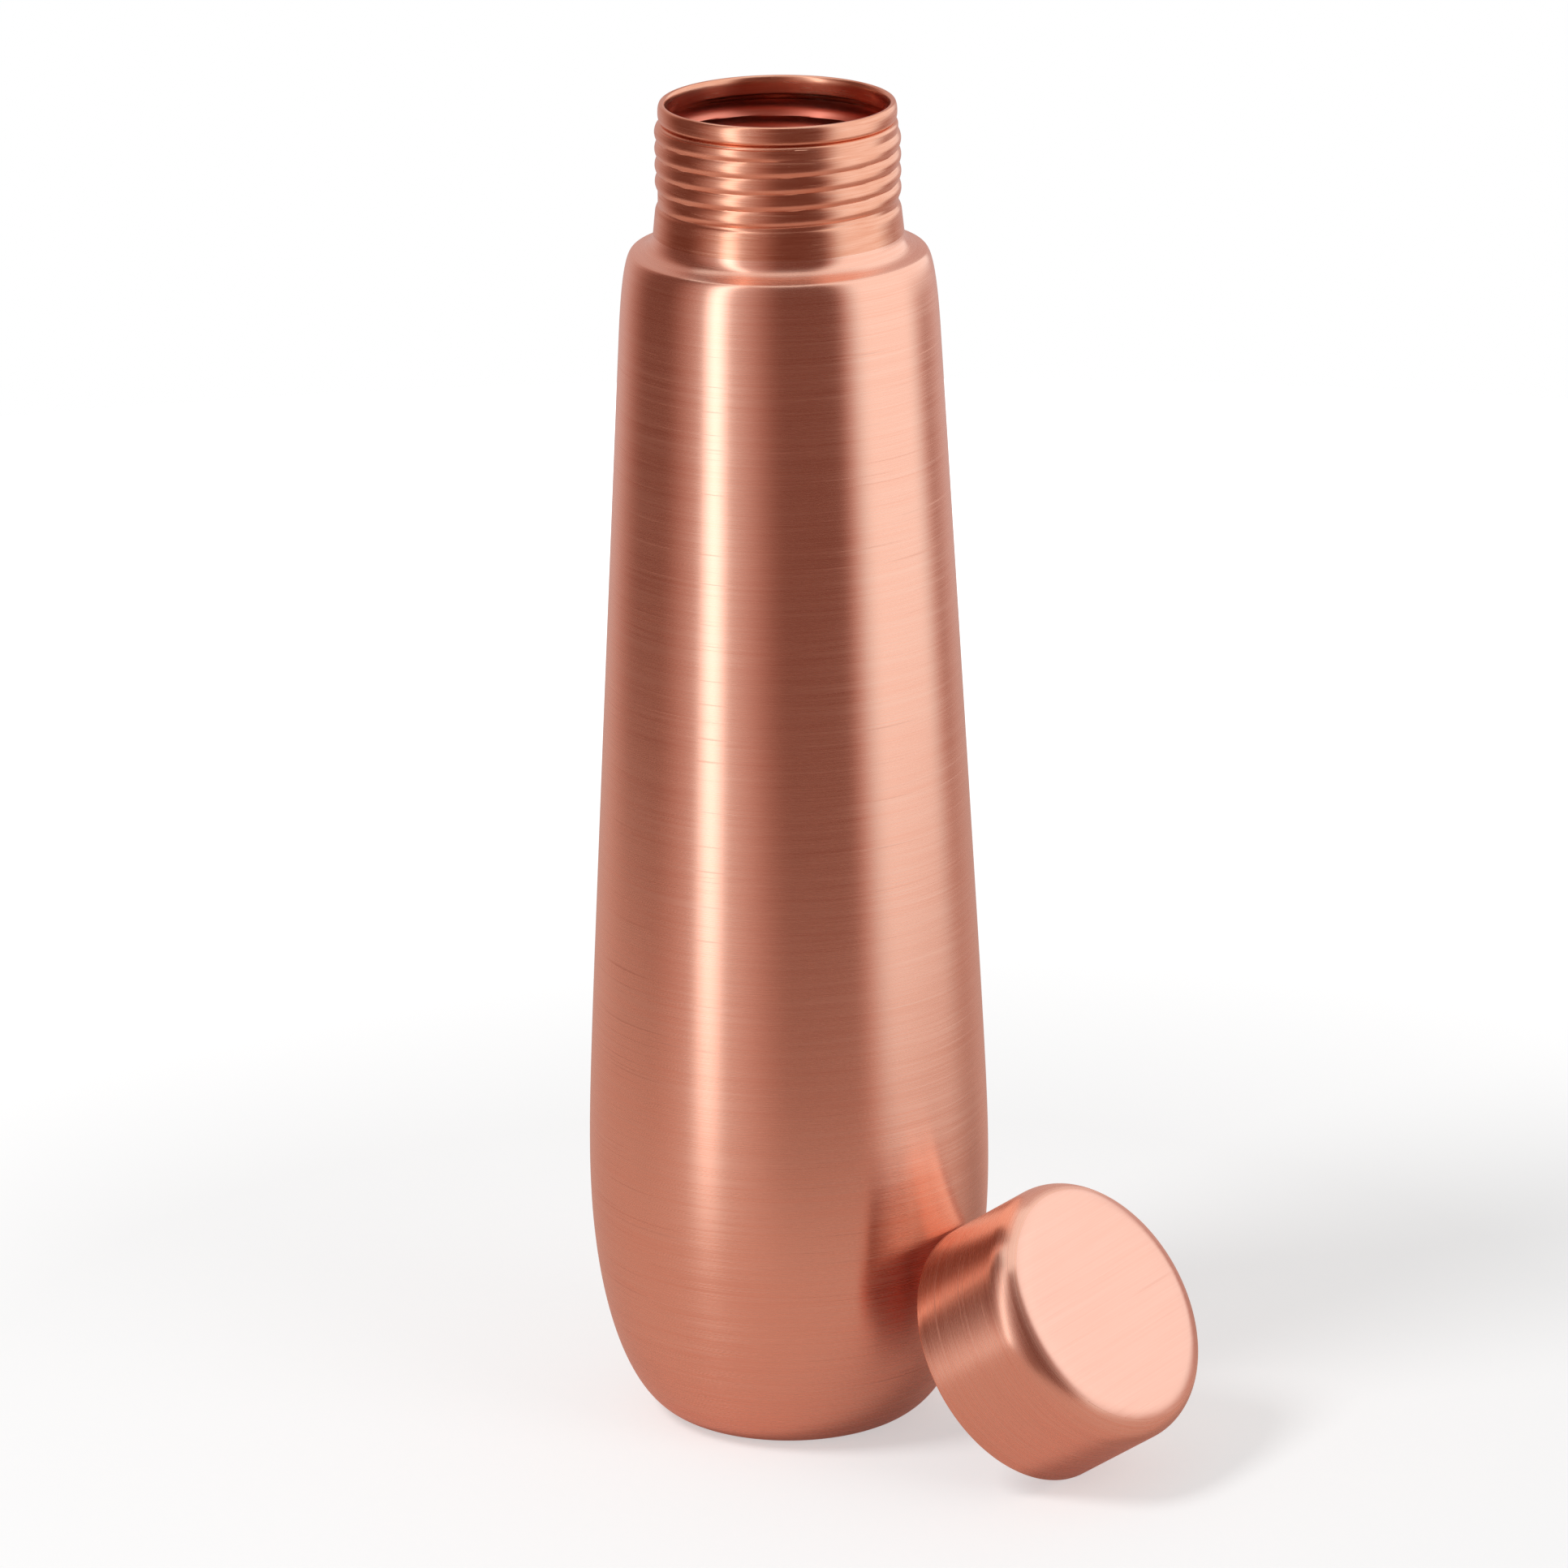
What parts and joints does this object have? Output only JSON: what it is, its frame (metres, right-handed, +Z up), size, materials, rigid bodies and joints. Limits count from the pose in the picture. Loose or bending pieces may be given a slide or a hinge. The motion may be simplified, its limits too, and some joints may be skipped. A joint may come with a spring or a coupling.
{
  "type": "water bottle",
  "caption": "Tapered copper water bottle with a threaded neck, and its screw cap leaning against the foot.",
  "frame": {"origin": "centre of the foot ring, on the surface the bottle stands on", "axes": "+Z up along the bottle's axis; +X to the right and -Y towards the viewer, with the cap lying to the front right"},
  "size_m": [0.113, 0.1005, 0.2522],
  "materials": {
    "copper": "copper, finely brushed round the axis",
    "braze": "copper braze, ground and brushed like the body",
    "silicone": "milky food-grade silicone, satin"
  },
  "bodies": {
    "bottle": {"body_shell": "copper", "base_disc": "copper", "base_braze": "braze", "neck": "copper", "neck_braze": "braze"},
    "gasket": {"cap_gasket": "silicone"},
    "cap": {"cap_shell": "copper", "cap_liner": "copper"}
  },
  "joints": [
    {"name": "cap_lift", "type": "slide", "parent": "bottle", "child": "gasket", "axis": [0.2767, -0.201, 0.9397], "range_m": [0, 0.3]},
    {"name": "cap_turn", "type": "hinge", "parent": "gasket", "child": "cap", "pos_m": [0.04209, -0.03058, 0.02078], "axis": [0.6643, -0.4827, 0.5707], "continuous": true}
  ]
}
